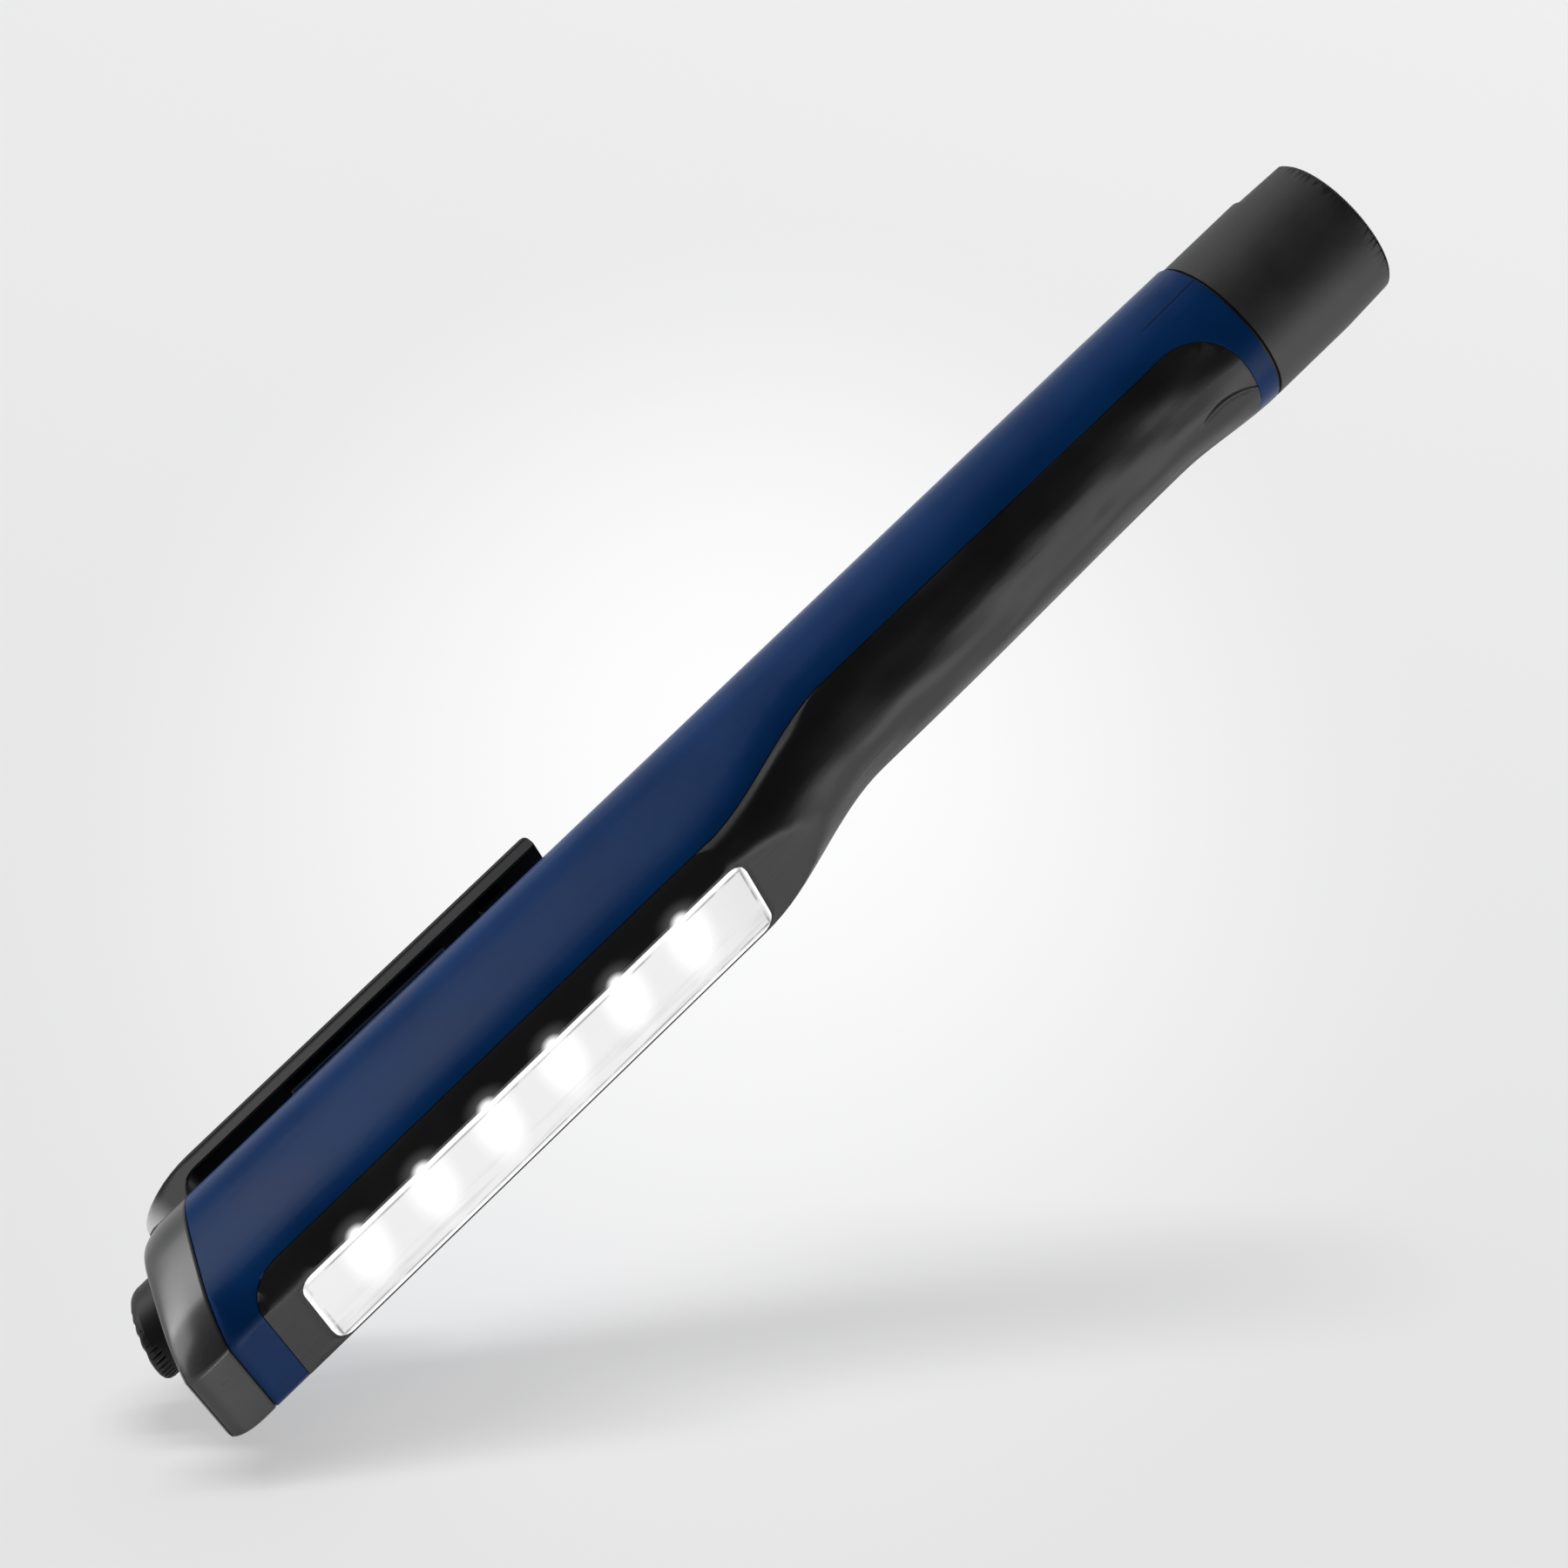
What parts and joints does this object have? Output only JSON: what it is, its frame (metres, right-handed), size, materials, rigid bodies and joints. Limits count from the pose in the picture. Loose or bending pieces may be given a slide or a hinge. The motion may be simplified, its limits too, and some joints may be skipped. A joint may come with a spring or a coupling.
{
  "type": "flashlight",
  "caption": "Pen-shaped flashlight with a strip of side lamps in a swollen section, an end lamp in a screw-on head, a tail push button and a spring clip.",
  "frame": {"origin": "on the battery bore's axis, at the rear face of the screw-on head", "axes": "+X along the axis, out of the head lamp; +Z towards the side lamps; -Z is the clip's side"},
  "size_m": [0.1661, 0.0174, 0.0237],
  "materials": {
    "blue_shell": "satin",
    "black_bezel": "satin",
    "clear_cover": "polished",
    "white_plastic": "satin",
    "white_board": "matte",
    "lamp_package": "gloss",
    "black_ceramic": "matte",
    "grey_plastic": "satin",
    "spring_wire": "bright",
    "contact_brass": "bright",
    "green_board": "satin",
    "switch_black": "matte",
    "seal_rubber": "matte",
    "black_button": "satin",
    "cell_can": "bright",
    "cell_sleeve": "gloss",
    "black_clip": "satin",
    "magnet_grey": "satin",
    "clear_lamp": "polished",
    "mirror_cup": "mirror",
    "clear_window": "polished"
  },
  "bodies": {
    "housing": {"body_shell": "blue_shell", "front_insert": "black_bezel", "strip_lens": "clear_cover", "strip_reflector": "white_plastic", "strip_board": "white_board", "strip_leds": "lamp_package", "strip_resistors": "black_ceramic", "tail_cap": "grey_plastic", "tail_spring": "spring_wire", "tail_contact": "contact_brass", "switch_board": "green_board", "switch_body": "switch_black", "return_strip": "contact_brass", "lead_pins": "spring_wire", "seal_washer": "seal_rubber"},
    "button": {"push_button": "black_button", "switch_plunger": "white_plastic", "button_spring": "spring_wire"},
    "cells": {"cell_1": "cell_can", "cell_2": "cell_can", "cell_3": "cell_can", "sleeve_1": "cell_sleeve", "sleeve_2": "cell_sleeve", "sleeve_3": "cell_sleeve"},
    "clip": {"clip": "black_clip", "clip_magnet": "magnet_grey"},
    "head": {"head_shell": "grey_plastic", "head_board": "green_board", "head_contact": "contact_brass", "head_led": "clear_lamp", "head_reflector": "mirror_cup", "head_lens": "clear_window", "lens_ring": "black_bezel"}
  },
  "joints": [
    {"name": "button_press", "type": "slide", "parent": "housing", "child": "button", "axis": [1, 0, 0], "range_m": [0, 0.0012], "stiffness_N_per_m": 1200, "deforming": ["button_spring"]},
    {"name": "unscrew_travel", "type": "slide", "parent": "housing", "child": "cells", "axis": [1, 0, 0], "range_m": [0, 0.00375], "deforming": ["tail_spring"]},
    {"name": "head_turn", "type": "hinge", "parent": "cells", "child": "head", "pos_m": [0, 0, 0], "axis": [1, 0, 0], "range_deg": [0, 1081]},
    {"name": "clip_flex", "type": "hinge", "parent": "housing", "child": "clip", "pos_m": [-0.13885, 0, -0.00821], "axis": [0, 1, 0], "range_deg": [0, 4.5], "stiffness_Nm_per_rad": 2}
  ],
  "couplings": [
    {"joint": "head_turn", "follows": "unscrew_travel", "rad_per_m": 5026.5}
  ]
}
